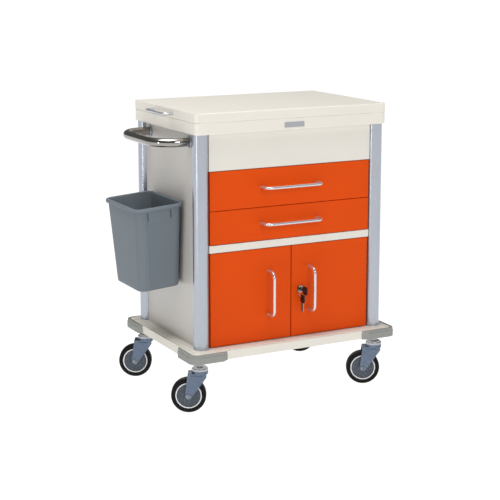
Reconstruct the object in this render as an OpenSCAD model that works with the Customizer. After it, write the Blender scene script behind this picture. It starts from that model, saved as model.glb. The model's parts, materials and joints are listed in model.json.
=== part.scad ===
// Instrument cart: a cabinet on four swivel casters with two drawers, a two-door cupboard,
// a pull-out side shelf, a push handle and a waste bin that hangs on the left side.
// +X is the cart's right, +Y its back, +Z up. The origin is on the floor below the cabinet's centre.

/* [Worktop] */
// Height from the floor to the worktop
cart_h = 850; // [820:1:900]
// Width of the worktop
top_w = 616; // [610:1:640]
// Depth of the worktop
top_d = 427; // [420:1:460]
// Thickness of the worktop's upper layer
board_t = 27; // [26:1:36]
// Height of the lower rim below the upper layer
rim_h = 33; // [30:1:40]
// Thickness of the two end pieces of the upper layer
end_t = 12; // [10:1:20]
// Travel of the pull-out side shelf
shelf_travel = 300; // [200:10:300]

/* [Cabinet] */
// Width over the corner columns
body_w = 611; // [606:1:622]
// Depth over the corner columns
body_d = 421; // [418:1:434]
// Radius of a corner column
column_r = 22; // [20:1:22]
// Distance of the front panels behind the columns' front line
front_inset = 12; // [10:1:14]
// Distance of the side panels inside the columns' side line
side_inset = 16; // [14:1:18]
// Depth of a folded front panel
front_t = 16; // [14:1:18]
// Depth of a folded side or back panel
panel_t = 10; // [8:1:12]
// Thickness of the folded steel sheet
sheet = 1.5; // [1:0.1:2]

/* [Fronts] */
// Height of the fascia's lower edge
fascia_z = 686; // [670:0.5:690]
// Height of the line between the two drawers
drawer_line_z = 573; // [565:1:575]
// Height of the rail's upper edge below the drawers
rail_top_z = 476; // [470:0.5:480]
// Height of the rail's lower edge above the doors
rail_bottom_z = 455; // [450:0.5:458]
// Gap around each front
front_gap = 2; // [1.5:0.1:3]
// Travel of a drawer
drawer_travel = 340; // [250:10:340]
// Sideways offset of the left door's handle from the middle
handle_l_x = 75; // [50:1:90]
// Sideways offset of the right door's handle from the middle
handle_r_x = 58; // [50:1:90]
// Sideways offset of the lock from the middle
lock_x = 30; // [24:1:36]

/* [Bow handles] */
// Distance between the feet of a drawer handle
drawer_handle_cc = 182; // [128:1:224]
// Sideways offset of the drawer handles from the middle
drawer_handle_x = -7; // [-20:1:20]
// Distance between the feet of a door or shelf handle
door_handle_cc = 128; // [96:32:160]
// Distance from the panel to the middle of a front handle's bar
handle_out = 38; // [32:1:42]
// Distance from the end piece to the middle of the shelf handle's bar
shelf_handle_out = 28; // [24:1:36]
// Radius of a bow handle's bar
handle_r = 4.2; // [3.5:0.1:5]

/* [Push handle] */
// Height of the push handle
push_z = 764; // [740:0.5:770]
// Half the distance between the push handle's legs
push_y = 138; // [120:1:145]
// Distance of the grip's middle from the cabinet's middle
push_x = 385.5; // [370:0.5:400]
// Radius of the push handle's tube
push_r = 12.5; // [11:0.5:14]
// Bend radius of the push handle's middle line
push_bend = 70; // [40:1:80]

/* [Base and casters] */
// Height of the base's lower face
base_z = 154; // [150:1:160]
// Height of the base's outer edge
base_edge_h = 24; // [20:1:26]
// Height of the raised step on the base
base_step_h = 3; // [2:0.5:5]
// Width of the base
base_w = 652; // [648:1:660]
// Depth of the base
base_d = 464; // [460:1:470]
// Thickness of the corner bumpers
bumper_t = 11; // [8:1:12]
// Length of a bumper's wing along the base
bumper_l = 115; // [90:1:130]
// Radius of a caster wheel
wheel_r = 50; // [50:1:50]
// Distance from the swivel axis to the wheel's axle
caster_trail = 32; // [28:1:34]
// Sideways distance of the swivel axes from the middle
caster_x = 290; // [280:1:292]
// Front to back distance of the swivel axes from the middle
caster_y = 192; // [185:1:195]
// Direction in which the casters trail, counted from +X
caster_angle = 152.3; // [0:0.1:360]

/* [Waste bin] */
// Width of the bin over its rolled rim, out from the side panel
bin_w = 153; // [140:1:160]
// Length of the bin over its rolled rim, front to back
bin_d = 240; // [220:1:250]
// Depth of the bin from the rim's middle to its underside
bin_h = 238; // [200:1:260]
// Angle at which the bin leans out from the side panel
bin_lean = 4.5; // [3:0.5:5]

/* [Hidden] */
$fn = 64;
hull_fn = 32;
eps = 1;

cream = [0.90, 0.88, 0.84];
orange = [0.88, 0.30, 0.07];
satin = [0.74, 0.76, 0.80];
chrome = [0.80, 0.80, 0.82];
zinc = [0.45, 0.50, 0.57];
steel = [0.66, 0.67, 0.68];
bin_grey = [0.44, 0.48, 0.50];
bumper_grey = [0.58, 0.59, 0.57];
hub_grey = [0.30, 0.33, 0.37];
rubber = [0.06, 0.06, 0.06];
key_black = [0.07, 0.07, 0.08];

// Levels
board_z = cart_h - board_t;
rim_z = board_z - rim_h;
rim_deck = 5;
deck_z = board_z - rim_deck;
body_z = base_z + base_edge_h + base_step_h;

// Plan positions of the cabinet's faces
column_x = body_w / 2 - column_r;
column_y = body_d / 2 - column_r;
column_wall = 5.5;
front_y = -(body_d / 2 - front_inset);
back_y = -front_y;
side_x = body_w / 2 - side_inset;
inner_x = side_x - panel_t;
slot_depth = 4;
front_half = column_x - column_r - 2.5;
fixed_half = column_x - column_r - 0.1;

// Inner structure
upright_x = fixed_half - 2.7;
upright_d = 30;
upright_ys = [-150, 130];
shelf_z = 308;
shelf_front_y = -140;
shelf_lip = 12;

// Upper layer and side shelf
board_wall = 12;
board_skin = 10;
end_x = top_w / 2 - end_t;
top_corner_r = 12;
rim_corner_r = 14;
shelf_board_t = 11;
shelf_board_z = board_z + 4;
shelf_board_l = 400;
runner_w = 5;
runner_lip = 9;
shelf_half_d = top_d / 2 - board_wall - runner_w - 1;
moving_gap = 0.5;
shelf_handle_z = 836;

// Drawers: [lower edge of the front, upper edge, box bottom, box height, slide height, handle height]
drawer_1 = [drawer_line_z + front_gap / 2, fascia_z - front_gap, 583, 85, 620, 632];
drawer_2 = [rail_top_z + front_gap, drawer_line_z - front_gap / 2, 486.5, 68, 515.5, 528];
box_half = upright_x - 12.7;
box_d = 355;
box_y = front_y + front_t;
slide_l = 360;
slide_y = box_y + 1;
slide_heights = [35, 29, 23];
slide_faces = [upright_x, upright_x - 3.8, box_half];
slide_depths = [8.7, 6.4, 6];

// Doors
door_z = body_z + 3;
door_top_z = rail_bottom_z - front_gap;
door_in = 1.5;
pivot_in = 6.5;
pivot_x = front_half - pivot_in;
pivot_y = front_y + pivot_in;
pivot_r = 3;
pivot_play = 0.05;
pivot_block = 13;
door_corner_r = 4;
door_handle_z = 323.5;

// Lock, key and spare key
lock_z = 322;
barrel_r = 8.5;
plug_r = 5.5;
plug_play = 0.05;
cam_y = front_y + front_t + 1;
key_neck_r = 2.6;
key_head_y = front_y - 19;
key_head_l = 23;
key_head_h = 24;
key_head_t = 3;
ring_r = 12;
ring_wire = 0.8;
ring_y = front_y - 16;
ring_z = lock_z + key_neck_r + 1 + ring_wire - ring_r;
spare_z = ring_z - ring_r;

// Bow handles
handle_bend = 18;
shelf_handle_bend = 14;

// Push handle
push_wall = 1.5;
flange_r = 17;
flange_t = 6;

// Base
bumper_z = 152.5;
bumper_step = 1.5;
bumper_groove_z = 170;
bumper_cut = 17;
base_corner_r = 14;

// Casters
stem_r = 6;
stem_play = 0.05;
collar_r = 9;
raceway_r = 23.5;
crown_z = 112.5;
crown_t = 2.7;
upper_race_z = 121.5;
upper_race_top = 132;
race_lip = 4;
crown_rear = -19;
crown_front = 34;
leg_rear_z = 105;
leg_in = 17.5;
leg_t = 2.5;
axle_r = 4;
axle_play = 0.05;
axle_half = 23;
hub_r = 37.8;
tread_half = 14;
CASTERS = [
    [-caster_x, -caster_y],
    [caster_x, -caster_y],
    [-caster_x, caster_y],
    [caster_x, caster_y]
];

// Waste bin
bin_x = -370;
bin_y = 7;
bin_z = 579;
bin_wall = 2.5;
bin_roll = 7;
bin_roll_h = 10;
bin_base_x = [-71.5, 55.3];
bin_base_half = 93;
bin_corner_top = 18;
bin_corner_base = 24;
slice_t = 0.1;
hanger_w = 120;
hanger_x = side_x + 9.6;

// ---------- shared shapes ----------

// Rectangle with round corners, centred
module rounded(w, d, r) {
    square([w - 2 * r, d], center = true);
    square([w, d - 2 * r], center = true);
    for (sx = [-1, 1], sy = [-1, 1])
        translate([sx * (w / 2 - r), sy * (d / 2 - r)]) circle(r);
}

// Flat slab with round vertical corners, standing on z = 0
module slab(w, d, h, r) {
    linear_extrude(h) rounded(w, d, r);
}

// Cylinder along +Y from y = 0
module rod_y(r, l) {
    rotate([-90, 0, 0]) cylinder(r = r, h = l);
}

// Cylinder along +X from x = 0
module rod_x(r, l) {
    rotate([0, 90, 0]) cylinder(r = r, h = l);
}

// Folded sheet pan: skin on its -Y face, edges folded back along +Y, open at the back
module pan(x0, x1, z0, z1, depth) {
    difference() {
        translate([x0, 0, z0]) cube([x1 - x0, depth, z1 - z0]);
        translate([x0 + sheet, sheet, z0 + sheet])
            cube([x1 - x0 - 2 * sheet, depth, z1 - z0 - 2 * sheet]);
    }
}

// Bow handle: feet on y = 0 at x = -cc/2 and cc/2, bar at y = -out
module bow(cc, out, r, bend) {
    for (sx = [-1, 1])
        translate([sx * cc / 2, -(out - bend), 0]) rod_y(r, out - bend);
    translate([-(cc / 2 - bend), -(out - bend), 0])
        rotate([0, 0, 180]) rotate_extrude(angle = 90) translate([bend, 0]) circle(r);
    translate([cc / 2 - bend, -(out - bend), 0])
        rotate([0, 0, 270]) rotate_extrude(angle = 90) translate([bend, 0]) circle(r);
    translate([-(cc / 2 - bend), -out, 0]) rod_x(r, cc - 2 * bend);
}

module at_side(side) {
    if (side < 0) children();
    else mirror([1, 0, 0]) children();
}

// ---------- base and casters ----------

module base() {
    color(cream) difference() {
        union() {
            translate([0, 0, base_z]) slab(base_w, base_d, base_edge_h, base_corner_r);
            translate([0, 0, base_z])
                slab(base_w - 14, base_d - 14, base_edge_h + base_step_h, base_corner_r);
        }
        for (c = CASTERS)
            translate([c[0], c[1], base_z - eps]) cylinder(r = stem_r, h = 17 + eps);
        for (side = [-1, 1])
            translate([side * pivot_x, pivot_y, body_z - 6]) cylinder(r = pivot_r, h = 6 + eps);
    }
}

// Plan of one bumper in the front left corner, its wing ends cut at an angle
module bumper_plan(t) {
    w = base_w / 2 + t;
    d = base_d / 2 + t;
    intersection() {
        rounded(2 * w, 2 * d, base_corner_r + t);
        polygon([
            [-w, -d], [-w + bumper_l - bumper_cut, -d], [-w + bumper_l, -d + bumper_t],
            [-w + bumper_l, -d + bumper_t + eps], [-w + bumper_t + eps, -d + bumper_l],
            [-w + bumper_t, -d + bumper_l], [-w, -d + bumper_l - bumper_cut]
        ]);
    }
}

module bumper() {
    difference() {
        union() {
            translate([0, 0, bumper_z]) linear_extrude(bumper_groove_z - bumper_z) bumper_plan(bumper_t);
            translate([0, 0, bumper_groove_z])
                linear_extrude(base_z + base_edge_h - bumper_groove_z) bumper_plan(bumper_t - bumper_step);
        }
        translate([0, 0, bumper_z - eps])
            slab(base_w, base_d, base_edge_h + 2 * eps + 1.5, base_corner_r);
    }
}

module corner_bumpers() {
    color(bumper_grey)
        for (mx = [0, 1], my = [0, 1])
            mirror([mx, 0, 0]) mirror([0, my, 0]) bumper();
}

// Collar, upper raceway and king pin of each caster; the pin's head sits below the fork's crown
module caster_stems() {
    color(zinc)
        for (c = CASTERS)
            translate([c[0], c[1], 0]) {
                cylinder_between(stem_r, crown_z - 1, base_z + 17);
                cylinder_between(collar_r, upper_race_top, base_z);
                cylinder_between(raceway_r, upper_race_z, upper_race_top - race_lip);
                cylinder_between(raceway_r - race_lip, upper_race_top - race_lip, upper_race_top);
                cylinder_between(9, crown_z - 3.3, crown_z - 0.3);
            }
}

module cylinder_between(r, z0, z1) {
    translate([0, 0, z0]) cylinder(r = r, h = z1 - z0);
}

module in_caster(i) {
    translate([CASTERS[i][0], CASTERS[i][1], 0]) rotate([0, 0, caster_angle]) children();
}

module leg_plan() {
    polygon([
        [crown_rear, crown_z + crown_t], [crown_front, crown_z + crown_t], [caster_trail + 10, wheel_r],
        [caster_trail - 9.5, wheel_r - 3.1], [crown_rear, leg_rear_z]
    ]);
    translate([caster_trail, wheel_r]) circle(10);
}

// Fork with its lower raceway and riveted axle
module fork(i) {
    color(zinc) in_caster(i) {
        difference() {
            union() {
                translate([crown_rear, -leg_in - leg_t, crown_z])
                    cube([crown_front - crown_rear, 2 * (leg_in + leg_t), crown_t]);
                cylinder_between(raceway_r, crown_z, upper_race_z - 0.3);
            }
            cylinder_between(stem_r + stem_play, crown_z - eps, upper_race_z + eps);
        }
        for (side = [-1, 1])
            translate([0, side * (leg_in + leg_t / 2) + leg_t / 2, 0])
                rotate([90, 0, 0]) linear_extrude(leg_t) leg_plan();
        translate([caster_trail, -axle_half, wheel_r]) rod_y(axle_r, 2 * axle_half);
        for (side = [-1, 1])
            translate([caster_trail, side * (axle_half - 1.5) - 1.5, wheel_r]) rod_y(6.5, 3);
    }
}

module hub(i) {
    color(hub_grey) in_caster(i) translate([caster_trail, 0, wheel_r]) rotate([90, 0, 0])
        rotate_extrude() {
            translate([axle_r + axle_play, -16.5]) square([9, 33]);
            translate([axle_r + 5, -3]) square([hub_r - axle_r - 8, 6]);
            translate([hub_r - 5, -10]) square([5, 20]);
        }
}

module tyre(i) {
    shoulder = 4;
    color(rubber) in_caster(i) translate([caster_trail, 0, wheel_r]) rotate([90, 0, 0])
        rotate_extrude() {
            translate([hub_r, -tread_half]) square([wheel_r - hub_r - shoulder, 2 * tread_half]);
            translate([hub_r, -tread_half + shoulder])
                square([wheel_r - hub_r, 2 * (tread_half - shoulder)]);
            for (s = [-1, 1])
                translate([wheel_r - shoulder, s * (tread_half - shoulder)]) circle(shoulder);
        }
}

// ---------- cabinet ----------

module columns() {
    color(satin)
        for (mx = [0, 1], my = [0, 1])
            mirror([mx, 0, 0]) mirror([0, my, 0]) column(my);
}

// One round column with the slot that holds the side panel, and at the back the back panel's slot
module column(rear) {
    difference() {
        translate([-column_x, -column_y, body_z]) difference() {
            cylinder(r = column_r, h = rim_z - body_z);
            translate([0, 0, -eps]) cylinder(r = column_r - column_wall, h = rim_z - body_z + 2 * eps);
        }
        translate([-side_x, -(column_y - column_r + slot_depth), body_z - eps])
            cube([panel_t, slot_depth + eps, rim_z - body_z + 2 * eps]);
        if (rear == 1)
            translate([-(column_x - column_r + slot_depth), front_y, body_z - eps])
                cube([slot_depth + eps, panel_t, rim_z - body_z + 2 * eps]);
    }
}

module side_panel(side) {
    half = column_y - column_r + slot_depth - 0.5;
    color(cream) at_side(side)
        translate([-side_x, 0, 0]) rotate([0, 0, -90])
            pan(-half, half, body_z, deck_z, panel_t);
}

module side_panel_left() {
    side_panel(-1);
}

module side_panel_right() {
    side_panel(1);
}

module back_panel() {
    half = column_x - column_r + slot_depth - 0.5;
    color(cream) translate([0, back_y, 0]) mirror([0, 1, 0])
        pan(-half, half, body_z, deck_z, panel_t);
}

module fascia() {
    color(cream) translate([0, front_y, 0]) pan(-fixed_half, fixed_half, fascia_z, deck_z, front_t);
}

// Rail below the drawers, with the sheet that parts the drawers from the cupboard
module divider_rail() {
    color(cream) difference() {
        union() {
            translate([0, front_y, 0])
                pan(-fixed_half, fixed_half, rail_bottom_z, rail_top_z, front_t);
            translate([-upright_x, front_y + front_t - eps, rail_top_z - sheet])
                cube([2 * upright_x, back_y - panel_t - front_y - front_t + eps, sheet]);
        }
        for (side = [-1, 1])
            translate([side * pivot_x, pivot_y, rail_bottom_z - eps]) cylinder(r = pivot_r, h = 6 + eps);
    }
}

// Four vertical C channels that carry the slides and the cupboard shelf
module uprights() {
    depth = inner_x - upright_x;
    color(steel)
        for (side = [-1, 1], y = upright_ys)
            at_side(side) difference() {
                translate([-inner_x, y, body_z]) cube([depth, upright_d, fascia_z + 60 - body_z]);
                translate([-inner_x - eps, y + sheet, body_z - eps])
                    cube([depth - sheet + eps, upright_d - 2 * sheet, fascia_z + 60 - body_z + 2 * eps]);
            }
}

module cupboard_shelf() {
    back = back_y - panel_t - 5;
    color(cream) {
        translate([-upright_x + 1.2, shelf_front_y, shelf_z])
            cube([2 * upright_x - 2.4, back - shelf_front_y, sheet]);
        for (y = [shelf_front_y, back - sheet])
            translate([-upright_x + 1.2, y, shelf_z - shelf_lip])
                cube([2 * upright_x - 2.4, sheet, shelf_lip + sheet]);
    }
}

module shelf_pins() {
    color(steel)
        for (side = [-1, 1], y = upright_ys)
            at_side(side) translate([-upright_x, y + upright_d / 2, shelf_z - 3]) rod_x(3, 12);
}

module lower_rim() {
    color(cream) difference() {
        translate([0, 0, rim_z]) slab(top_w, top_d, rim_h, rim_corner_r);
        translate([-side_x, front_y, rim_z - eps])
            cube([2 * side_x, back_y - front_y, rim_h - rim_deck + eps]);
    }
}

// Upper layer of the worktop: a deck on two long walls, open below for the side shelf
module worktop_board() {
    color(cream) difference() {
        translate([-end_x + moving_gap, -top_d / 2, board_z])
            cube([2 * end_x - moving_gap, top_d, board_t]);
        translate([-end_x - eps, -top_d / 2 + board_wall, board_z - eps])
            cube([2 * end_x + 2 * eps, top_d - 2 * board_wall, board_t - board_skin + eps]);
    }
}

// End piece of the upper layer, on the left side; lift is the gap under it
module end_piece(lift) {
    translate([0, 0, board_z + lift]) linear_extrude(board_t - lift)
        intersection() {
            rounded(top_w, top_d, top_corner_r);
            translate([-top_w, -top_d]) square([top_w - end_x, 2 * top_d]);
        }
}

module end_piece_right() {
    color(cream) mirror([1, 0, 0]) end_piece(0);
}

module shelf_runners() {
    y = top_d / 2 - board_wall;
    color(steel)
        for (my = [0, 1])
            mirror([0, my, 0]) {
                translate([-end_x + 2, y - runner_w, board_z])
                    cube([2 * end_x - 4, runner_w, board_t - board_skin]);
                translate([-end_x + 2, y - runner_w - runner_lip, board_z])
                    cube([2 * end_x - 4, runner_lip + eps, 3.5]);
            }
}

module nameplate() {
    color(steel) translate([0, -top_d / 2, 805]) rotate([90, 0, 0])
        linear_extrude(1.2) rounded(64, 15, 2);
}

// Sheet pivots of the doors: a pin in the base and one in the rail on each side
module door_pivots() {
    color(steel)
        for (side = [-1, 1])
            translate([side * pivot_x, pivot_y, 0]) {
                cylinder_between(pivot_r, body_z - 5, door_z + 10);
                cylinder_between(pivot_r, door_top_z - 10, rail_bottom_z + 5);
            }
}

module magnet_catch() {
    z = door_top_z - 14;
    color(key_black) translate([-22, front_y + front_t + 0.5, z])
        cube([44, 14, rail_top_z - sheet - z]);
}

module screw(r) {
    cylinder(r = r, h = 1.6);
}

// Button-head screws of the back panel and the push handle's flanges
module screws() {
    color(steel) {
        for (sx = [-1, 1], z = [body_z + 25, 330, 490, 650, rim_z - 25])
            translate([sx * 250, back_y, z]) rotate([-90, 0, 0]) screw(4);
        for (sy = [-1, 1], a = [90, 210, 330])
            translate([-side_x, sy * push_y, push_z]) rotate([0, -90, 0])
                rotate([0, 0, a]) translate([flange_r - 2.2, 0, flange_t]) screw(1.8);
    }
}

// ---------- push handle and bin ----------

module tube_section() {
    difference() {
        circle(push_r);
        circle(push_r - push_wall);
    }
}

module push_handle() {
    knee_x = -(push_x - push_bend);
    knee_y = push_y - push_bend;
    color(chrome) translate([0, 0, push_z]) {
        for (sy = [-1, 1])
            translate([knee_x, sy * push_y, 0]) rotate([0, 90, 0])
                linear_extrude(-side_x - knee_x) tube_section();
        translate([-push_x, -knee_y, 0]) rotate([-90, 0, 0]) linear_extrude(2 * knee_y) tube_section();
        translate([knee_x, -knee_y, 0]) rotate([0, 0, 180])
            rotate_extrude(angle = 90) translate([push_bend, 0]) tube_section();
        translate([knee_x, knee_y, 0]) rotate([0, 0, 90])
            rotate_extrude(angle = 90) translate([push_bend, 0]) tube_section();
    }
}

module handle_flanges() {
    color(chrome)
        for (sy = [-1, 1])
            translate([-side_x - flange_t, sy * push_y, push_z]) difference() {
                rod_x(flange_r, flange_t);
                translate([-eps, 0, 0]) rod_x(push_r, flange_t + 2 * eps);
            }
}

// Folded strip on the side panel whose upturned edge the bin's rim hooks over
module bin_hanger() {
    top_z = bin_z + 7.5;
    color(steel) translate([0, bin_y - hanger_w / 2, 0]) {
        translate([-side_x - 2, 0, top_z - 34]) cube([2, hanger_w, 34]);
        translate([-hanger_x, 0, top_z - 13.5]) cube([hanger_x - side_x, hanger_w, 2]);
        translate([-hanger_x, 0, top_z - 13.5]) cube([2, hanger_w, 13.5]);
    }
}

// Thin rounded plate for the bin's hulls
module bin_slice(x0, x1, half, r, z) {
    translate([(x0 + x1) / 2, 0, z]) linear_extrude(slice_t) rounded(x1 - x0, 2 * half, r);
}

module bin_solid(inset, floor_z, top_z) {
    top = bin_w / 2 - bin_roll - inset;
    hull() {
        bin_slice(-top, top, bin_d / 2 - bin_roll - inset, bin_corner_top - inset, top_z - slice_t, $fn = hull_fn);
        bin_slice(bin_base_x[0] + inset, bin_base_x[1] - inset, bin_base_half - inset,
            bin_corner_base - inset, floor_z, $fn = hull_fn);
    }
}

module waste_bin() {
    color(bin_grey) translate([bin_x, bin_y, bin_z]) rotate([0, -bin_lean, 0]) {
        difference() {
            union() {
                bin_solid(0, -bin_h, bin_roll_h / 2);
                translate([0, 0, bin_roll_h / 2 - bin_wall])
                    linear_extrude(bin_wall) rounded(bin_w, bin_d, bin_corner_top + bin_roll, $fn = hull_fn);
            }
            bin_solid(bin_wall, -bin_h + 3, bin_roll_h / 2 + eps);
        }
        translate([0, 0, -bin_roll_h / 2]) linear_extrude(bin_roll_h) difference() {
            rounded(bin_w, bin_d, bin_corner_top + bin_roll, $fn = hull_fn);
            rounded(bin_w - 4, bin_d - 4, bin_corner_top + bin_roll - 2, $fn = hull_fn);
        }
    }
}

// ---------- drawers, slides and side shelf ----------

module drawer_front(d) {
    color(orange) translate([0, front_y, 0]) pan(-front_half, front_half, d[0], d[1], front_t);
}

module drawer_box(d) {
    color(steel) difference() {
        translate([-box_half, box_y, d[2]]) cube([2 * box_half, box_d, d[3]]);
        translate([-box_half + sheet, box_y + sheet, d[2] + sheet])
            cube([2 * (box_half - sheet), box_d - 2 * sheet, d[3]]);
    }
}

module drawer_handle(d) {
    color(satin) translate([drawer_handle_x, front_y, d[5]]) bow(drawer_handle_cc, handle_out, handle_r, handle_bend);
}

// C profile of a slide member with its web at x = 0 and its flanges towards +X
module slide_profile(h, depth) {
    translate([0, 0, -h / 2]) difference() {
        cube([depth, slide_l, h]);
        translate([sheet, -eps, sheet]) cube([depth, slide_l + 2 * eps, h - 2 * sheet]);
    }
}

module slide_pair(k, z) {
    for (side = [-1, 1])
        at_side(side) translate([-slide_faces[k], slide_y, z])
            slide_profile(slide_heights[k], slide_depths[k]);
}

module drawer_slides_outer() {
    color(steel)
        for (d = [drawer_1, drawer_2])
            slide_pair(0, d[4]);
}

module drawer_middles(d) {
    color(steel) slide_pair(1, d[4]);
}

module drawer_slides(d) {
    color(steel)
        for (side = [-1, 1])
            at_side(side) translate([-slide_faces[2], slide_y, d[4]]) mirror([1, 0, 0])
                slide_profile(slide_heights[2], slide_depths[2]);
}

module side_shelf_board() {
    color(cream) translate([-end_x, -shelf_half_d, shelf_board_z])
        cube([shelf_board_l, 2 * shelf_half_d, shelf_board_t]);
}

module side_shelf_end() {
    color(cream) end_piece(moving_gap);
}

module side_shelf_handle() {
    color(satin) translate([-top_w / 2, 0, shelf_handle_z]) rotate([0, 0, -90])
        bow(door_handle_cc, shelf_handle_out, handle_r, shelf_handle_bend);
}

// ---------- doors, lock and keys ----------

// Left door: a folded pan with round hinge-side edges and a pivot block in its two outer corners
module door_pan() {
    z0 = door_z;
    h = door_top_z - door_z;
    x0 = -front_half;
    x1 = -door_in;
    difference() {
        union() {
            difference() {
                translate([0, front_y, z0]) linear_extrude(h) {
                    translate([x0 + door_corner_r, 0]) square([x1 - x0 - door_corner_r, front_t]);
                    translate([x0, door_corner_r]) square([front_t, front_t - door_corner_r]);
                    translate([x0 + door_corner_r, door_corner_r]) circle(door_corner_r);
                }
                translate([x0 + sheet, front_y + sheet, z0 + sheet])
                    cube([x1 - x0 - 2 * sheet, front_t, h - 2 * sheet]);
            }
            for (z = [z0, z0 + h - pivot_block])
                translate([x0 + sheet / 2, front_y + sheet / 2, z])
                    cube([pivot_block, pivot_block, pivot_block]);
            translate([x0 + door_corner_r, front_y + door_corner_r, z0])
                cylinder(r = door_corner_r, h = h);
        }
        for (z = [z0 - eps, z0 + h - pivot_block - eps])
            translate([-pivot_x, pivot_y, z])
                cylinder(r = pivot_r + pivot_play, h = pivot_block + 2 * eps);
    }
}

module left_door_panel() {
    color(orange) door_pan();
}

module right_door_panel() {
    color(orange) difference() {
        mirror([1, 0, 0]) door_pan();
        translate([lock_x, front_y - eps, lock_z]) rod_y(barrel_r, 5);
    }
}

module door_handle(x) {
    color(satin) translate([x, front_y, door_handle_z]) rotate([0, 90, 0])
        bow(door_handle_cc, handle_out, handle_r, handle_bend);
}

module lock_barrel() {
    length = cam_y - front_y - 0.5;
    color(chrome) translate([lock_x, front_y, lock_z]) difference() {
        union() {
            rod_y(barrel_r, length);
            translate([0, -4, 0]) rod_y(barrel_r + 2, 4);
            translate([0, sheet, 0]) rotate([-90, 0, 0]) cylinder(r = 12.5, h = 4, $fn = 6);
        }
        translate([0, -4 - eps, 0]) rod_y(plug_r + plug_play, length + 4 + 2 * eps);
    }
}

// Turning plug with its cam, which points down when the lock is open
module lock_plug() {
    color(chrome) translate([lock_x, 0, lock_z]) {
        translate([0, front_y - 5, 0]) rod_y(plug_r, cam_y - front_y + 5);
        translate([0, cam_y, 0]) rod_y(7, 2.5);
        translate([-5, cam_y, -42]) cube([10, 2.5, 42]);
    }
}

// Outline of a key's head, upright, with its neck end at y = 0 and the hole near y = -length
module key_head() {
    rotate([90, 0, 90]) linear_extrude(key_head_t, center = true) difference() {
        translate([-key_head_l / 2, 0]) rounded(key_head_l, key_head_h, 6);
        translate([-key_head_l + 4.5, 0]) circle(2.2);
    }
}

module key() {
    color(key_black) translate([lock_x, 0, lock_z]) {
        translate([0, key_head_y, 0]) key_head();
        translate([0, key_head_y - eps, 0]) rod_y(key_neck_r, front_y - 5 - key_head_y + eps);
    }
}

module key_ring() {
    color(chrome) translate([lock_x, ring_y, ring_z]) rotate([90, 0, 0])
        rotate_extrude() translate([ring_r, 0]) circle(ring_wire, $fn = 24);
}

// Spare key hanging from the ring by the hole in its head
module spare_key() {
    hole_r = 2.2;
    color(key_black) translate([lock_x, ring_y, spare_z]) difference() {
        translate([-key_head_t / 2, 0, 0]) rotate([90, 0, 90]) linear_extrude(key_head_t) {
            translate([0, -key_head_l / 2 + 4]) rounded(22, key_head_l, 6);
            translate([-4, -key_head_l - 22]) square([8, 28]);
        }
        translate([-5, 0, -hole_r + ring_wire + 0.3]) rod_x(hole_r, 10);
    }
}

base();
corner_bumpers();
columns();
side_panel_left();
side_panel_right();
back_panel();
fascia();
divider_rail();
uprights();
cupboard_shelf();
shelf_pins();
lower_rim();
worktop_board();
end_piece_right();
shelf_runners();
nameplate();
push_handle();
handle_flanges();
bin_hanger();
drawer_slides_outer();
door_pivots();
magnet_catch();
caster_stems();
screws();
side_shelf_board();
side_shelf_end();
side_shelf_handle();
drawer_front(drawer_1);  // drawer_1_front
drawer_box(drawer_1);  // drawer_1_box
drawer_handle(drawer_1);  // drawer_1_handle
drawer_slides(drawer_1);  // drawer_1_slides
drawer_middles(drawer_1);  // drawer_1_middles
drawer_front(drawer_2);  // drawer_2_front
drawer_box(drawer_2);  // drawer_2_box
drawer_handle(drawer_2);  // drawer_2_handle
drawer_slides(drawer_2);  // drawer_2_slides
drawer_middles(drawer_2);  // drawer_2_middles
left_door_panel();
door_handle(-handle_l_x);  // left_door_handle
right_door_panel();
door_handle(handle_r_x);  // right_door_handle
lock_barrel();
lock_plug();
key();
key_ring();
spare_key();
waste_bin();
fork(0);  // fork_fl
hub(0);  // hub_fl
tyre(0);  // tyre_fl
fork(1);  // fork_fr
hub(1);  // hub_fr
tyre(1);  // tyre_fr
fork(2);  // fork_rl
hub(2);  // hub_rl
tyre(2);  // tyre_rl
fork(3);  // fork_rr
hub(3);  // hub_rr
tyre(3);  // tyre_rr
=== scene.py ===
"""Looks of the instrument cart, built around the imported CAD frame."""

import json
import math

import bmesh
import bpy
from mathutils import Matrix, Vector


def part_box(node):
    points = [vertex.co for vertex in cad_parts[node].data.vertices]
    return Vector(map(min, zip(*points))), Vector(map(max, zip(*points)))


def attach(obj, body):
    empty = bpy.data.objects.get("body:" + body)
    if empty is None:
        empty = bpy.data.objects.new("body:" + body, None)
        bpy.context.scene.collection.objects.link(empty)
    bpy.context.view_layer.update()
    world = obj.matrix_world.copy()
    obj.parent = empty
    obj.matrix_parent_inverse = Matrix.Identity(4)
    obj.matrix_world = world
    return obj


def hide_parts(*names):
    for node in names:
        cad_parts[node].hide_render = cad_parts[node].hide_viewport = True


MM = 0.001
SHARP = math.radians(32)  # a bend above this angle is an edge, below it the surface is smooth

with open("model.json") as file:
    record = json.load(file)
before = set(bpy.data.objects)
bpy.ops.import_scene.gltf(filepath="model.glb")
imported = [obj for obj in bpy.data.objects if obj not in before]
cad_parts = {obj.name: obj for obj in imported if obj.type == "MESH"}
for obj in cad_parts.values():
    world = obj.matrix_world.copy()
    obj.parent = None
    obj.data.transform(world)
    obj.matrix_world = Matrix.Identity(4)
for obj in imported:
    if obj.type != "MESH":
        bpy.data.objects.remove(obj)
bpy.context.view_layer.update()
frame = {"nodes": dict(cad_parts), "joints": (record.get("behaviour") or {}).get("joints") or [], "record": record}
scene = bpy.context.scene
node_body = {n: b for b, ns in frame["record"]["behaviour"]["bodies"].items() for n in ns}
node_slot = {s["node"]: s["material_slot"] for s in frame["record"]["subparts"]}


# ---------- materials ----------


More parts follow.
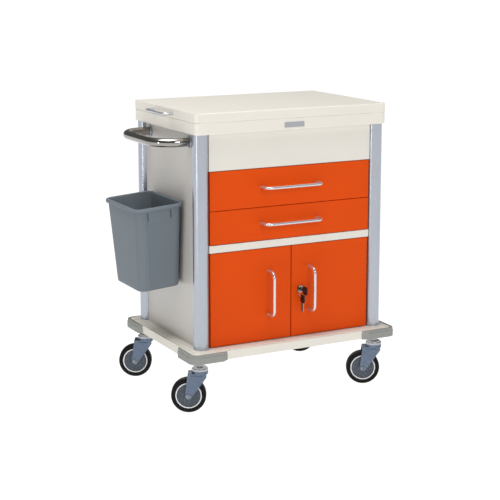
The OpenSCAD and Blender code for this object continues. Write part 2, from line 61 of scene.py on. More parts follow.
class Shader:
    """A node material on object coordinates, in metres."""

    def __init__(self, name):
        self.mat = bpy.data.materials.new(name)
        self.mat.use_nodes = True
        self.nt = self.mat.node_tree
        self.bsdf = self.nt.nodes["Principled BSDF"]
        self.coord = self.nt.nodes.new("ShaderNodeTexCoord").outputs["Object"]

    def add(self, kind, links, **values):
        """A new node with its inputs linked to other nodes' outputs or set to values."""
        node = self.nt.nodes.new(kind)
        for key, value in values.items():
            node.inputs[key].default_value = value
        for key, source in links.items():
            self.nt.links.new(source, node.inputs[key])
        return node

    def noise(self, scale, detail, stretch=None):
        source = self.coord
        if stretch is not None:
            source = self.add("ShaderNodeMapping", {"Vector": source}, Scale=stretch).outputs[0]
        return self.add("ShaderNodeTexNoise", {"Vector": source}, Scale=scale, Detail=detail).outputs["Fac"]

    def ramp(self, source, low, high, out_low, out_high):
        limits = {"From Min": low, "From Max": high, "To Min": out_low, "To Max": out_high}
        return self.add("ShaderNodeMapRange", {"Value": source}, **limits).outputs[0]

    def mix(self, fac, a, b):
        node = self.nt.nodes.new("ShaderNodeMix")
        node.data_type = "RGBA"
        self.nt.links.new(fac, node.inputs["Factor"])
        for value, socket in ((a, node.inputs["A"]), (b, node.inputs["B"])):
            if isinstance(value, tuple):
                socket.default_value = (*value, 1)
            else:
                self.nt.links.new(value, socket)
        return node.outputs["Result"]

    def bump(self, height, distance, strength):
        node = self.add("ShaderNodeBump", {"Height": height}, Distance=distance, Strength=strength)
        return node.outputs[0]

    def connect(self, color, roughness, normal):
        self.nt.links.new(color, self.bsdf.inputs["Base Color"])
        self.nt.links.new(roughness, self.bsdf.inputs["Roughness"])
        self.nt.links.new(normal, self.bsdf.inputs["Normal"])


def srgb(r, g, b):
    """Linear colour of a screen colour from 0 to 255."""

    def lin(c):
        c /= 255
        return c / 12.92 if c <= 0.04045 else ((c + 0.055) / 1.055) ** 2.4

    return (lin(r), lin(g), lin(b))


def tint(color, k):
    return tuple(min(1.0, c * k) for c in color)


def surface(
    name,
    color,
    rough,
    vary,
    grain,
    grain_depth,
    cloud=9.0,
    metal=0.0,
    specular=0.5,
    stretch=None,
    spots=None,
    edge=0.0,
):
    """Colour with soft clouds and fine grain, roughness from the same grain, bump at the real scale.

    vary is how much the clouds lighten and darken, cloud and grain are noise scales per metre,
    grain_depth is in millimetres, stretch scales the grain by axis, spots is (scale, share, colour)
    and edge is how much lighter the rounded edges are: partly wear, partly a painted highlight.
    """
    s = Shader(name)
    clouds = s.ramp(s.noise(cloud, 3), 0.35, 0.65, 0, 1)
    fine = s.noise(grain, 3, stretch)
    # the edge material is lighter: partly wear, partly a painted highlight along the rounded edges
    base = tint(color, 1 + edge)
    out = s.mix(clouds, tint(base, 1 - vary), tint(base, 1 + vary))
    speck = s.ramp(fine, 0.3, 0.7, 0, 1)
    out = s.mix(speck, s.mix(speck, tint(base, 1 - vary * 1.5), out), out)
    if spots is not None:
        scale, share, spot_color = spots
        where = s.ramp(s.noise(scale, 4), share, share + 0.08, 0, 1)
        out = s.mix(where, out, spot_color)
    wear = 0.06 if edge else 0.0
    s.connect(
        out,
        s.ramp(fine, 0.25, 0.75, rough * 0.82 + wear, min(1.0, rough * 1.18 + wear)),
        s.bump(fine, grain_depth * MM, 0.6),
    )
    s.bsdf.inputs["Metallic"].default_value = metal
    s.bsdf.inputs["Specular IOR Level"].default_value = specular
    return s.mat


def pair(name, edge, **more):
    """A material and its slightly lighter, rougher form for the rounded edges: rougher from wear, lighter partly
    from wear and partly as a painted highlight.
    """
    return surface(name, **more), surface(name + "_edge", edge=edge, **more)


# edge sets how much lighter each look is on its rounded edges: partly wear, partly a painted highlight
LOOKS = {
    "cream_plastic": dict(
        color=srgb(235, 230, 219), rough=0.42, vary=0.012, grain=1400, grain_depth=0.03, edge=0.05
    ),
    "cream_paint": dict(
        color=srgb(231, 227, 217), rough=0.36, vary=0.012, grain=700, grain_depth=0.035, edge=0.05
    ),
    "panel_paint": dict(
        color=srgb(204, 200, 194), rough=0.4, vary=0.012, grain=700, grain_depth=0.035, edge=0.05
    ),
    "orange_paint": dict(
        color=srgb(227, 77, 0),
        rough=0.42,
        specular=0.12,
        vary=0.02,
        grain=750,
        grain_depth=0.03,
        edge=0.16,
    ),
    "grey_paint": dict(
        color=srgb(196, 198, 198), rough=0.45, vary=0.02, grain=800, grain_depth=0.03, edge=0.08
    ),
    "satin_aluminium": dict(
        color=srgb(176, 181, 190),
        rough=0.24,
        metal=0.75,
        vary=0.02,
        grain=2600,
        grain_depth=0.006,
        stretch=(1, 1, 0.02),
        edge=0.08,
    ),
    "bar_metal": dict(
        color=srgb(214, 217, 221),
        rough=0.24,
        metal=0.75,
        vary=0.02,
        grain=1800,
        grain_depth=0.006,
        edge=0.05,
    ),
    "chrome": dict(
        color=srgb(158, 155, 150),
        rough=0.09,
        metal=1.0,
        vary=0.01,
        grain=300,
        grain_depth=0.004,
        edge=0.02,
    ),
    "zinc_plate": dict(
        color=srgb(104, 118, 138),
        rough=0.36,
        metal=0.8,
        vary=0.08,
        cloud=60,
        grain=1500,
        grain_depth=0.01,
        spots=(220, 0.6, srgb(134, 140, 148)),
        edge=0.35,
    ),
    "plate_metal": dict(
        color=srgb(176, 178, 184),
        rough=0.4,
        metal=0.6,
        vary=0.03,
        grain=1800,
        grain_depth=0.008,
        stretch=(0.03, 1, 1),
        edge=0.2,
    ),
    "bumper_plastic": dict(
        color=srgb(150, 152, 147), rough=0.6, vary=0.03, grain=1000, grain_depth=0.05, edge=0.14
    ),
    "bin_plastic": dict(
        color=srgb(120, 129, 136),
        rough=0.45,
        specular=0.1,
        vary=0.02,
        grain=1200,
        grain_depth=0.03,
        edge=0.12,
    ),
    "hub_plastic": dict(
        color=srgb(66, 74, 86),
        rough=0.45,
        vary=0.1,
        cloud=60,
        grain=600,
        grain_depth=0.03,
        spots=(260, 0.58, srgb(112, 118, 126)),
        edge=0.2,
    ),
    "ring_white": dict(
        color=srgb(252, 252, 254), rough=0.4, vary=0.02, grain=900, grain_depth=0.02, edge=0.0
    ),
    "tyre_rubber": dict(
        color=srgb(5, 5, 6),
        rough=0.5,
        specular=0.2,
        vary=0.12,
        cloud=30,
        grain=800,
        grain_depth=0.06,
        edge=0.2,
    ),
    "black_plastic": dict(
        color=srgb(14, 14, 17), rough=0.42, vary=0.06, grain=900, grain_depth=0.02, edge=0.3
    ),
    "key_metal": dict(
        color=srgb(150, 148, 142),
        rough=0.3,
        metal=0.8,
        vary=0.05,
        grain=1500,
        grain_depth=0.01,
        edge=0.2,
    ),
    "steel": dict(
        color=srgb(176, 178, 182),
        rough=0.32,
        metal=0.9,
        vary=0.04,
        cloud=40,
        grain=1500,
        grain_depth=0.01,
        edge=0.15,
    ),
}
M = {name: pair(name, **look) for name, look in LOOKS.items()}

# Nodes that do not look like the rest of their material slot
OTHER_LOOK = {
    "panel_paint": ("side_panel_left", "side_panel_right", "back_panel"),
    "bar_metal": (
        "drawer_1_handle",
        "drawer_2_handle",
        "left_door_handle",
        "right_door_handle",
        "side_shelf_handle",
    ),
    "steel": (
        "caster_stems",
        "uprights",
        "shelf_runners",
        "bin_hanger",
        "drawer_slides_outer",
        "door_pivots",
        "screws",
        "shelf_pins",
    ),
}
node_look = {node: look for look, nodes in OTHER_LOOK.items() for node in nodes}


def look_of(node):
    if node.endswith(("_slides", "_middles")):
        return "steel"
    return node_look.get(node, node_slot[node])


# ---------- mesh tools ----------


def piece(name, bm, node, look=None, width=0.0, weight=None, segments=2, stands=True, smooth=SHARP):
    """Makes the piece from bm, rounds its sharp edges by weight * width, rides it on the node's body."""
    look = look or look_of(node)
    mesh = bpy.data.meshes.new(name)
    bmesh.ops.recalc_face_normals(bm, faces=bm.faces)
    if width:
        layer = bm.edges.layers.float.new("bevel_weight_edge")
        for e in bm.edges:
            if len(e.link_faces) == 2 and e.calc_face_angle(0) > SHARP:
                e[layer] = weight(e) if weight else 1.0
    bm.to_mesh(mesh)
    bm.free()
    ob = bpy.data.objects.new(name, mesh)
    scene.collection.objects.link(ob)
    for m in M[look]:
        mesh.materials.append(m)
    if width:
        mod = ob.modifiers.new("round", "BEVEL")
        mod.limit_method = "WEIGHT"
        mod.width = width * MM
        mod.segments = segments
        # the rounded edges take the second, lighter material: partly wear, partly a painted highlight
        mod.material = 1
        mod.miter_outer = "MITER_ARC" if segments > 2 else "MITER_SHARP"
        settle(ob)
    for p in ob.data.polygons:
        p.use_smooth = True
    ob.data.set_sharp_from_angle(angle=smooth)
    if width:
        normals = ob.modifiers.new("flat", "WEIGHTED_NORMAL")
        normals.keep_sharp = True
    if stands:
        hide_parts(node)
    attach(ob, node_body[node])
    return ob


def settle(ob):
    """Applies the object's modifiers to its mesh."""
    dg = bpy.context.evaluated_depsgraph_get()
    mesh = bpy.data.meshes.new_from_object(ob.evaluated_get(dg))
    ob.modifiers.clear()
    old = ob.data
    ob.data = mesh
    bpy.data.meshes.remove(old)
    mesh.name = ob.name


def cad_mesh(node):
    """A copy of the CAD node's mesh, welded, with its flat faces joined."""
    bm = bmesh.new()
    bm.from_mesh(frame["nodes"][node].data)
    bmesh.ops.remove_doubles(bm, verts=bm.verts, dist=3e-6)
    bmesh.ops.dissolve_limit(bm, angle_limit=math.radians(0.3), verts=bm.verts, edges=bm.edges)
    return bm


def rework(node, width, weight=None, segments=2, look=None):
    """Stands a copy of the CAD node in its place, its edges rounded by width millimetres."""
    return piece(node + "_look", cad_mesh(node), node, look, width, weight, segments)


def loft(bm, loops):
    """Skins loops of equally many vertices, one after the other, and caps both ends."""
    for a, b in zip(loops, loops[1:]):
        for i in range(len(a)):
            j = (i + 1) % len(a)
            bm.faces.new((a[i], a[j], b[j], b[i]))
    bm.faces.new(loops[0])
    bm.faces.new(loops[-1])


def tube(bm, path, radius, around, closed=False):
    """Sweeps a round section along path without twist."""
    rings = []
    count = len(path)
    side = None
    for i, p in enumerate(path):
        a = path[(i - 1) % count] if closed or i else p
        b = path[(i + 1) % count] if closed or i < count - 1 else p
        t = (b - a).normalized()
        if side is None:
            side = t.orthogonal().normalized()
        side = (side - t * side.dot(t)).normalized()
        up = t.cross(side)
        turns = [k * math.tau / around for k in range(around)]
        rings.append([bm.verts.new(p + (side * math.cos(a) + up * math.sin(a)) * radius) for a in turns])
    pairs = list(zip(rings, rings[1:]))
    if closed:
        pairs.append((rings[-1], rings[0]))
    for lower, upper in pairs:
        for k in range(around):
            j = (k + 1) % around
            bm.faces.new((lower[k], lower[j], upper[j], upper[k]))
    if not closed:
        bm.faces.new(rings[0][::-1])
        bm.faces.new(rings[-1])


def lathe(bm, profile, place, around, index=None):
    """Turns (radius, height) points about the Z axis of the matrix place. The profile is closed.

    index gives the material index of the band that starts at a point of the profile.
    """
    turns = [k * math.tau / around for k in range(around)]
    rings = []
    for r, h in profile:
        points = [Vector((r * math.cos(a), r * math.sin(a), h)) for a in turns]
        rings.append([bm.verts.new(place @ p) for p in points])
    for i, ring in enumerate(rings):
        after = rings[(i + 1) % len(rings)]
        for k in range(around):
            j = (k + 1) % around
            f = bm.faces.new((ring[k], ring[j], after[j], after[k]))
            if index:
                f.material_index = index(i)


def arc(centre, a, b, count):
    """Points from centre + a to centre + b, a and b being square to each other."""
    return [
        centre + a * math.cos(i * math.pi / 2 / count) + b * math.sin(i * math.pi / 2 / count)
        for i in range(count + 1)
    ]


# ---------- worktop and cabinet ----------

top_lo, top_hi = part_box("worktop_board")
rim_lo, rim_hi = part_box("lower_rim")
RIM_CORNER_X = 0.29  # the rim's corners lie beyond this, left and right
BASE_END_X = 0.3  # and the base's ends beyond this


def top_edges(e):
    """Full round on the worktop's upper edges, less on its underside and at its seams."""
    a, b = (v.co for v in e.verts)
    high = all(v.co.z > top_hi.z - MM / 10 for v in e.verts)
    low = all(v.co.z < top_lo.z + 0.8 * MM for v in e.verts)
    outer = any(abs(v.co.y) > top_hi.y - MM / 5 or abs(v.co.x) > rim_hi.x - MM / 5 for v in e.verts)
    if high:
        across = abs((a - b).normalized().x) > 0.99
        at_seam = abs(abs(a.x) - top_hi.x) < MM and not across and abs(a.x - b.x) < MM / 10
        return 0.32 if at_seam else 1.0
    return 0.7 if low and outer else 0.32


def rim_edges(e):
    """Full round along the lower rim's bottom edge on the outside."""

    def outside(co):
        at_corner = abs(co.y) > rim_hi.y - 15 * MM and abs(co.x) > RIM_CORNER_X
        return at_corner or abs(co.y) > rim_hi.y - MM

    at_bottom = all(v.co.z < rim_lo.z + MM / 10 for v in e.verts)
    return 1.0 if at_bottom and any(outside(v.co) for v in e.verts) else 0.6


for part in ("worktop_board", "end_piece_right", "side_shelf_end"):
    rework(part, width=2.6, weight=top_edges, segments=3)
rework("side_shelf_board", width=1.2)
rework("lower_rim", width=3.0, weight=rim_edges, segments=3)
for part in ("side_panel_left", "side_panel_right", "back_panel", "fascia", "divider_rail"):
    rework(part, width=0.5)
rework("cupboard_shelf", width=0.4)
rework("columns", width=0.5)
for part in ("uprights", "shelf_runners", "shelf_pins", "bin_hanger"):
    rework(part, width=0.4)
rework("magnet_catch", width=0.8)
rework("door_pivots", width=0.4)
rework("drawer_slides_outer", width=0.3)
rework("screws", width=0.5)

for k in "12":
    rework(f"drawer_{k}_front", width=1.0, segments=3)
    rework(f"drawer_{k}_box", width=0.4)
    rework(f"drawer_{k}_slides", width=0.3)
    rework(f"drawer_{k}_middles", width=0.3)
for side in ("left", "right"):
    rework(f"{side}_door_panel", width=0.9, segments=3)

# Nameplate: a blank plate with a raised border. Each step is a loop's distance inside the outline, in
# millimetres, and its share of the plate's thickness.
PLATE_STEPS = ((0, 0.0), (0, 0.7), (0.5, 1.0), (1.4, 1.0), (1.9, 0.75))
PLATE_CORNER = 2.2 * MM
lo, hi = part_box("nameplate")
bm = bmesh.new()
mid, half = (lo + hi) / 2, (hi - lo) / 2
loops = []
for step, share in PLATE_STEPS:
    inset, out = step * MM, half.y * 2 * share
    ring = []
    r = PLATE_CORNER - inset * 0.6
    for sx, sz, a0 in ((1, 1, 0), (-1, 1, 90), (-1, -1, 180), (1, -1, 270)):
        for i in range(5):
            a = math.radians(a0 + i * 22.5)
            x = mid.x + sx * (half.x - inset - r) + r * math.cos(a)
            z = mid.z + sz * (half.z - inset - r) + r * math.sin(a)
            ring.append(bm.verts.new((x, hi.y - out, z)))
    loops.append(ring)
loft(bm, loops)
piece("nameplate_look", bm, "nameplate", smooth=math.radians(20))

# ---------- base, bumpers and casters ----------


def base_edges(e):
    """Full round at both ends of the base, less between them."""
    return 1.0 if max(abs(v.co.x) for v in e.verts) > BASE_END_X else 0.4


rework("base", width=1.6, weight=base_edges, segments=3)
rework("corner_bumpers", width=1.5, segments=3)
rework("caster_stems", width=0.8)

UP = Vector((0, 0, 1))
WHEEL_AROUND = 96
HUB_R = 37.8 * MM  # where the tyre sits on the hub
TREAD_HALF = 14 * MM
SHOULDER = 4.2 * MM  # radius of the tyre's shoulders
SHOULDER_DROP = 0.2 * MM
CROWN_HALF = 6 * MM
CROWN_DROP = 0.05 * MM
# The tyre's bead, (outwards from the hub, inwards from the side) in millimetres
BEAD = ((0, 0), (1.2, 0.2), (3, 0))
# One half of the hub's section: bore, boss, disc, ring and rim, (radius, height) in millimetres
HUB_HALF = (
    (4.1, 16.3),
    (9.5, 16.3),
    (10.5, 15.5),
    (12.5, 12.2),
    (20, 11.2),
    (30.5, 10.6),
    (31.6, 10.9),
    (33.4, 11.2),
    (34.2, 12.4),
    (35.2, 12.9),
    (36.8, 12.9),
    (37.78, 12.0),
)
# The bands of the turned hub that are white, on both sides
WHITE_BANDS = (8, 9, 10, 12, 13, 14)
FORK_HALF = 20 * MM  # half the distance over the fork's legs
# The pressed field on each leg of a fork: (forward of the king pin, height) of its corners,
# then (inset, lift) of its loops, in millimetres
PRESSING = ((-11, 110), (26, 110), (34, 66), (27, 64), (-11, 105.5))
PRESSING_STEPS = ((0, -0.4), (0, 0.2), (1.6, 1.3))
# The axle's nuts with their washers: (distance from the wheel's middle in millimetres, share of NUT_R)
NUT_R = 6.4 * MM
NUT_STEPS = ((20.0, 1.14), (22.6, 1.14), (23.0, 1.0))


def mirrored(half, middle=()):
    """A section that is the same on both sides, from the (radius, height) points of its lower half."""
    return [*half, *middle, *((r, -h) for r, h in reversed(half))]


def tyre_profile(radius):
    """Bead at the hub, round shoulders and a slightly crowned tread."""
    start = radius - SHOULDER - SHOULDER_DROP
    half = [(HUB_R + out * MM, -TREAD_HALF + side * MM) for out, side in BEAD]
    for i in range(9):
        a = math.radians(i * 11.25)
        half.append((start + SHOULDER * math.sin(a), -TREAD_HALF + SHOULDER * (1 - math.cos(a))))
    half.append((radius - CROWN_DROP, -CROWN_HALF))
    return mirrored(half, [(radius, 0)])


def caster(tag):
    """Tyre, hub, fork, pressings and nuts of one caster, placed by its two joints."""
    joints = {j["name"]: j for j in frame["joints"]}
    roll, swivel = joints["roll_" + tag], joints["swivel_" + tag]
    axle = Vector(roll["pos_m"])
    along = Vector(roll["axis"]).normalized()
    foot = Vector((swivel["pos_m"][0], swivel["pos_m"][1], 0))
    forward = (Vector((axle.x, axle.y, 0)) - foot).normalized()
    # local z is the axle, local x forward, local y up or down
    turn = Matrix((forward, along.cross(forward), along)).transposed().to_4x4()
    place = Matrix.Translation(axle) @ turn

    tyre_lo, tyre_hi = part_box("tyre_" + tag)
    bm = bmesh.new()
    lathe(bm, tyre_profile((tyre_hi.z - tyre_lo.z) / 2), place, WHEEL_AROUND)
    piece(f"tyre_{tag}_look", bm, "tyre_" + tag, smooth=math.radians(50))

    bm = bmesh.new()
    hub_profile = mirrored([(r * MM, -h * MM) for r, h in HUB_HALF])
    lathe(bm, hub_profile, place, WHEEL_AROUND, lambda i: 2 if i in WHITE_BANDS else 0)
    hub = piece(f"hub_{tag}_look", bm, "hub_" + tag, smooth=math.radians(40))
    hub.data.materials.append(M["ring_white"][0])

    rework("fork_" + tag, width=0.7)
    pressing, nuts = bmesh.new(), bmesh.new()
    corners = [Vector(point) for point in PRESSING]
    middle = sum(corners, Vector((0, 0))) / len(corners)
    spokes = [forward * math.cos(a) + UP * math.sin(a) for a in (k * math.tau / 6 for k in range(6))]
    for s in (-1, 1):
        loops = []
        for inset, lift in PRESSING_STEPS:
            flat = [q + (middle - q).normalized() * inset for q in corners]
            out = along * s * (FORK_HALF + lift * MM)
            loops.append([pressing.verts.new(foot + forward * q.x * MM + out + UP * q.y * MM) for q in flat])
        loft(pressing, loops)
        loops = []
        for height, share in NUT_STEPS:
            out = axle + along * s * height * MM
            loops.append([nuts.verts.new(out + spoke * NUT_R * share) for spoke in spokes])
        loft(nuts, loops)
    piece(f"fork_{tag}_pressing", pressing, "fork_" + tag, stands=False, width=0.5)
    piece(f"fork_{tag}_nuts", nuts, "fork_" + tag, look="steel", stands=False, width=0.3)


for tag in ("fl", "fr", "rl", "rr"):
    caster(tag)

# ---------- handles ----------

X, Y, Z = 0, 1, 2
BOW_BEND = 18 * MM
SHELF_BOW_BEND = 14 * MM
PUSH_BEND = 70 * MM
PUSH_LEG = 10 * MM  # straight part of the push handle at the cabinet


def bow_piece(node, run, out, bend):
    """Bow handle: run is the axis of its bar, out the axis it stands off along, towards the minus side."""
    lo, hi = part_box(node)
    cross = 3 - run - out
    r = (hi[cross] - lo[cross]) / 2
    base = hi[out]
    bar = lo[out] + r
    a0, a1 = lo[run] + r, hi[run] - r
    mid = (lo[cross] + hi[cross]) / 2

    def at(a, o):
        p = Vector((0, 0, 0))
        p[run], p[out], p[cross] = a, o, mid
        return p

    reach = base - bar - bend
    run_v, out_v = Vector((0, 0, 0)), Vector((0, 0, 0))
    run_v[run], out_v[out] = 1, -1
    path = [at(a0, base), at(a0, base - reach * 0.5)]
    path += arc(at(a0 + bend, base - reach), run_v * -bend, out_v * bend, 10)
    path += [at(a0 + (a1 - a0) * t, bar) for t in (0.35, 0.5, 0.65)]
    path += arc(at(a1 - bend, base - reach), out_v * bend, run_v * bend, 10)
    path += [at(a1, base - reach * 0.5), at(a1, base)]
    bm = bmesh.new()
    tube(bm, path, r, around=24)
    piece(node + "_look", bm, node)


for k in "12":
    bow_piece(f"drawer_{k}_handle", X, Y, BOW_BEND)
for side in ("left", "right"):
    bow_piece(f"{side}_door_handle", Z, Y, BOW_BEND)
bow_piece("side_shelf_handle", Y, X, SHELF_BOW_BEND)

lo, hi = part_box("push_handle")
r = (hi.z - lo.z) / 2
z = (lo.z + hi.z) / 2
leg_y = hi.y - r
grip_x = lo.x + r
bend_x, bend_y = grip_x + PUSH_BEND, leg_y - PUSH_BEND
to_leg, to_grip = Vector((0, PUSH_BEND, 0)), Vector((-PUSH_BEND, 0, 0))
path = [Vector((hi.x, leg_y, z)), Vector((hi.x - PUSH_LEG, leg_y, z))]
path += arc(Vector((bend_x, bend_y, z)), to_leg, to_grip, 16)
path += [Vector((grip_x, bend_y * t, z)) for t in (0.5, 0, -0.5)]
path += arc(Vector((bend_x, -bend_y, z)), to_grip, -to_leg, 16)
path += [Vector((hi.x - PUSH_LEG, -leg_y, z)), Vector((hi.x, -leg_y, z))]
bm = bmesh.new()
tube(bm, path, r, around=40)
piece("push_handle_look", bm, "push_handle")
rework("handle_flanges", width=1.8, segments=3, look="satin_aluminium")

# ---------- lock and keys ----------

rework("lock_barrel", width=0.9, segments=3)
# the metal plug's face is given the black plastic look: a painted dark reflection
rework("lock_plug", width=0.5, look="black_plastic")
rework("key", width=0.7, look="black_plastic")

lo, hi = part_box("key_ring")
ring_middle = (lo + hi) / 2
wire = (hi.y - lo.y) / 2
ring_r = (hi.x - lo.x) / 2 - wire
turns = [k * math.tau / 48 for k in range(48)]
bm = bmesh.new()
path = [ring_middle + Vector((ring_r * math.cos(a), 0, ring_r * math.sin(a))) for a in turns]
tube(bm, path, wire, around=12, closed=True)
piece("key_ring_look", bm, "key_ring")

# Spare key: CAD outline, black head above a steel blade
KEY_HEAD = 27 * MM
spare = rework("spare_key", width=0.6, look="black_plastic")
spare.data.materials.append(M["key_metal"][0])
lo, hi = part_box("spare_key")
for p in spare.data.polygons:
    if p.center.z < hi.z - KEY_HEAD:
        p.material_index = 2

# ---------- waste bin ----------

# The bin has a frame of its own, in millimetres: its origin is in the middle of the rim and it leans out.
LEAN = math.radians(4.5)
BIN_PLACE = (-370 * MM, 7 * MM, 579 * MM)
BIN = Matrix.Translation(BIN_PLACE) @ Matrix.Rotation(-LEAN, 4, "Y")
BIN_W, BIN_D, BIN_H = 153.0, 240.0, 238.0  # over the rolled rim, and from the floor to the rim's middle
ROLL = 7.0  # how far the rolled rim stands out of the wall
ROLL_TOP = 5.0  # height of its top
WALL = 2.5
FLOOR = 3.0
FLOOR_X = (-71.5, 55.3)  # the floor's two ends, the first away from the cabinet
FLOOR_HALF = 93
CORNER_FLOOR, CORNER_TOP = 24, 18  # radius of the upright corners
# A crease: (distance from the corner along the wall, depth outwards) of its points
CREASE = ((3.0, 0.0), (5.5, -2.2), (8.0, 1.2), (11.0, 0.0))
INNER_CREASE = 0.8
# The share of the height where the wall starts and ends, outside and inside
OUTSIDE = (0.01, 0.955)
INSIDE = (0.012, 0.96)
# The rolled rim's section, (outwards from the wall, height): under the rim, then over it to the inside
RIM_SKIRT = ((4.2, 2.4), (5.2, 1.6), (5.3, -4.2), (5.7, -5.0), (6.7, -4.8))
RIM_ROLL = (
    (7, -4),
    (7, 0.5),
    (6.7, 2.3),
    (5.8, 3.9),
    (4.4, 4.8),
    (3, 5),
    (0.6, 5),
    (-1.0, 4.6),
    (-2.1, 3.4),
    (-WALL, 1.6),
)


def bin_ring(bm, t, grow, height, crease=0.0):
    """Ring of the wall at share t from the floor (0) to the rim (1), grow millimetres outside of it.

    crease is the share of the full crease.
    """
    top, top_half = BIN_W / 2 - ROLL, BIN_D / 2 - ROLL
    x0 = FLOOR_X[0] + (-top - FLOOR_X[0]) * t - grow
    x1 = FLOOR_X[1] + (top - FLOOR_X[1]) * t + grow
    half = FLOOR_HALF + (top_half - FLOOR_HALF) * t + grow
    r = max(CORNER_FLOOR + (CORNER_TOP - CORNER_FLOOR) * t + grow, 2)
    points = []
    for x, y, a0 in ((x1, half, 0), (x0, half, 90), (x0, -half, 180), (x1, -half, 270)):
        cx = x - math.copysign(r, x)
        cy = y - math.copysign(r, y)
        angles = [math.radians(a0 + i * 9) for i in range(11)]
        corner = [(cx + r * math.cos(a), cy + r * math.sin(a)) for a in angles]
        if a0 in (90, 180):
            # creases beside the two outer corners, in the front and the back wall
            px, py = corner[0] if a0 == 90 else corner[-1]
            marks = [(px + d, py + math.copysign(depth * crease, py)) for d, depth in CREASE]
            corner = marks[::-1] + corner if a0 == 90 else corner + marks
        points += corner
    return [bm.verts.new(BIN @ (Vector((px, py, height)) * MM)) for px, py in points]


def bin_rings(bm):
    """From the middle of the floor up the outside, over the rolled rim and down the inside."""
    under, floor_z = -BIN_H, -BIN_H + FLOOR
    rings = [
        bin_ring(bm, 0, -9, under),
        bin_ring(bm, 0, -4, under),
        bin_ring(bm, 0.002, -1.2, under + 1.2),
        bin_ring(bm, OUTSIDE[0], 0, under + 4, 0.5),
    ]
    for i in range(1, 13):
        t = OUTSIDE[0] + (OUTSIDE[1] - OUTSIDE[0]) * i / 12
        rings.append(bin_ring(bm, t, 0, under + (ROLL_TOP - under) * t, 1.0))
    rings.append(bin_ring(bm, 0.985, 0.1, 1.2))
    rings.append(bin_ring(bm, 0.99, 1.0, 2.4))
    for grow, height in RIM_SKIRT + RIM_ROLL:
        rings.append(bin_ring(bm, 1, grow, height))
    for i in range(12, -1, -1):
        t = INSIDE[0] + (INSIDE[1] - INSIDE[0]) * i / 12
        crease = INNER_CREASE if 0 < i < 12 else 0
        rings.append(bin_ring(bm, t, -WALL, floor_z + (ROLL_TOP - floor_z) * t, crease))
    rings.append(bin_ring(bm, 0, -7, floor_z))
    return rings


bm = bmesh.new()
loft(bm, bin_rings(bm))
bin_look = piece("waste_bin_look", bm, "waste_bin", smooth=math.radians(28))

# Two slots under the rim in the front wall: their middles, half length without the ends, half width,
# and where the cutter that makes them starts and ends
SLOT_X = (-36.5, 33.5)
SLOT_Z = -22
SLOT_HALF, SLOT_R = 10.5, 1.5
SLOT_Y = (-135, 0)


def slot_cutter(x):
    """A round-ended bar across the front wall at x."""
    bm = bmesh.new()
    loops = []
    for y in SLOT_Y:
        ring = []
        for end, a0 in ((1, 0), (-1, 180)):
            for i in range(9):
                a = math.radians(a0 + i * 22.5)
                spot = Vector((x + SLOT_R * math.cos(a), y, SLOT_Z + end * SLOT_HALF + SLOT_R * math.sin(a)))
                ring.append(bm.verts.new(BIN @ (spot * MM)))
        loops.append(ring)
    loft(bm, loops)
    bmesh.ops.recalc_face_normals(bm, faces=bm.faces)
    mesh = bpy.data.meshes.new("cutter")
    bm.to_mesh(mesh)
    bm.free()
    cutter = bpy.data.objects.new("cutter", mesh)
    scene.collection.objects.link(cutter)
    return cutter


for x in SLOT_X:
    cutter = slot_cutter(x)
    mod = bin_look.modifiers.new("slot", "BOOLEAN")
    mod.object = cutter
    mod.solver = "EXACT"
    bpy.context.view_layer.update()
    settle(bin_look)
    bpy.data.objects.remove(cutter)

# ---------- stage, light and camera ----------

FLOOR_REACH = 70  # metres either way
FLOOR_GLOW = 0.97

bm = bmesh.new()
bmesh.ops.create_grid(bm, x_segments=8, y_segments=8, size=FLOOR_REACH)
mesh = bpy.data.meshes.new("floor")
bm.to_mesh(mesh)
bm.free()
floor = bpy.data.objects.new("floor", mesh)
scene.collection.objects.link(floor)
# The floor glows, so that it stays white far behind the cart and takes only a soft shadow
floor_look = surface(
    "floor_white",
    color=(0.22, 0.22, 0.22),
    rough=0.9,
    specular=0.1,
    vary=0.004,
    cloud=2,
    grain=60,
    grain_depth=0.02,
)
floor_bsdf = floor_look.node_tree.nodes["Principled BSDF"]
floor_bsdf.inputs["Emission Color"].default_value = (1, 1, 1, 1)
floor_bsdf.inputs["Emission Strength"].default_value = FLOOR_GLOW
mesh.materials.append(floor_look)

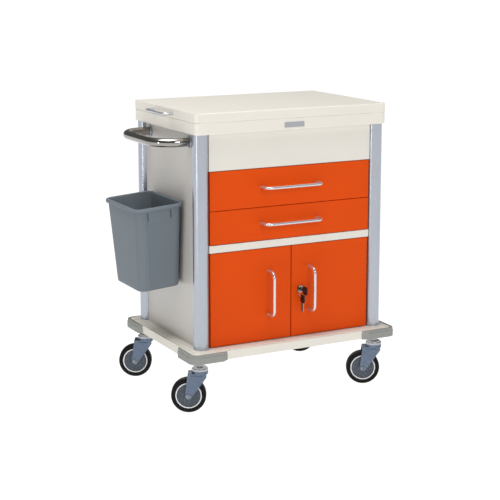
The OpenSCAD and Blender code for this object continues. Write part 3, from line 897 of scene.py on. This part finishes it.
# The room, as the metal reflects it: white below the horizon, dim walls, a bright ceiling.
# WALLS holds (sine of the angle above the horizon, brightness).
BELOW = (0.95, 0.95, 0.96, 1)
CEILING = (1, 1, 1, 1)
WALLS = ((0.03, 0.16), (0.62, 0.14), (0.80, 0.3))
world = bpy.data.worlds.new("studio")
scene.world = world
world.use_nodes = True
nt = world.node_tree
background = nt.nodes["Background"]
coords = nt.nodes.new("ShaderNodeTexCoord")
split_xyz = nt.nodes.new("ShaderNodeSeparateXYZ")
nt.links.new(coords.outputs["Generated"], split_xyz.inputs[0])
sky = nt.nodes.new("ShaderNodeValToRGB")
sky.color_ramp.elements[0].color = BELOW
sky.color_ramp.elements[1].color = CEILING
for position, value in WALLS:
    element = sky.color_ramp.elements.new(position)
    element.color = (value, value, value * 1.01, 1)
nt.links.new(split_xyz.outputs["Z"], sky.inputs["Fac"])
nt.links.new(sky.outputs[0], background.inputs["Color"])
background.inputs["Strength"].default_value = 1.0


def area(name, place, target, size, power):
    """A rectangular light at place that shines at target."""
    data = bpy.data.lights.new(name, "AREA")
    data.shape = "RECTANGLE"
    data.size, data.size_y = size
    data.energy = power
    ob = bpy.data.objects.new(name, data)
    ob.location = place
    ob.rotation_mode = "QUATERNION"
    ob.rotation_quaternion = (Vector(target) - Vector(place)).to_track_quat("-Z", "Y")
    scene.collection.objects.link(ob)


area("key", place=(-0.2, -4.0, 2.3), target=(0, 0, 0.5), size=(1.3, 1.3), power=42)
area("top", place=(-0.8, -0.3, 3.3), target=(0, 0, 0.8), size=(1.8, 1.8), power=60)
area("strip", place=(-3.4, -0.9, 0.5), target=(0, 0, 0.45), size=(0.22, 2.0), power=11)

# The photo's camera: it looks at TARGET from the left, YAW round from the front and PITCH up
YAW, PITCH = math.radians(27.70), math.radians(10.34)
DISTANCE = 4.0949
TARGET = Vector((-29.49, 0, 541.78)) * MM
LENS = 99.04464
SENSOR = 36
SHIFT_Y = -0.09
back = Vector((-math.sin(YAW) * math.cos(PITCH), -math.cos(YAW) * math.cos(PITCH), math.sin(PITCH)))
camera_data = bpy.data.cameras.new("camera")
camera_data.lens = LENS
camera_data.sensor_width = SENSOR
camera_data.shift_y = SHIFT_Y
camera = bpy.data.objects.new("camera", camera_data)
camera.rotation_mode = "QUATERNION"
camera.location = TARGET + back * DISTANCE
camera.rotation_quaternion = (-back).to_track_quat("-Z", "Y")
scene.collection.objects.link(camera)
scene.camera = camera
scene.view_settings.view_transform = "Standard"
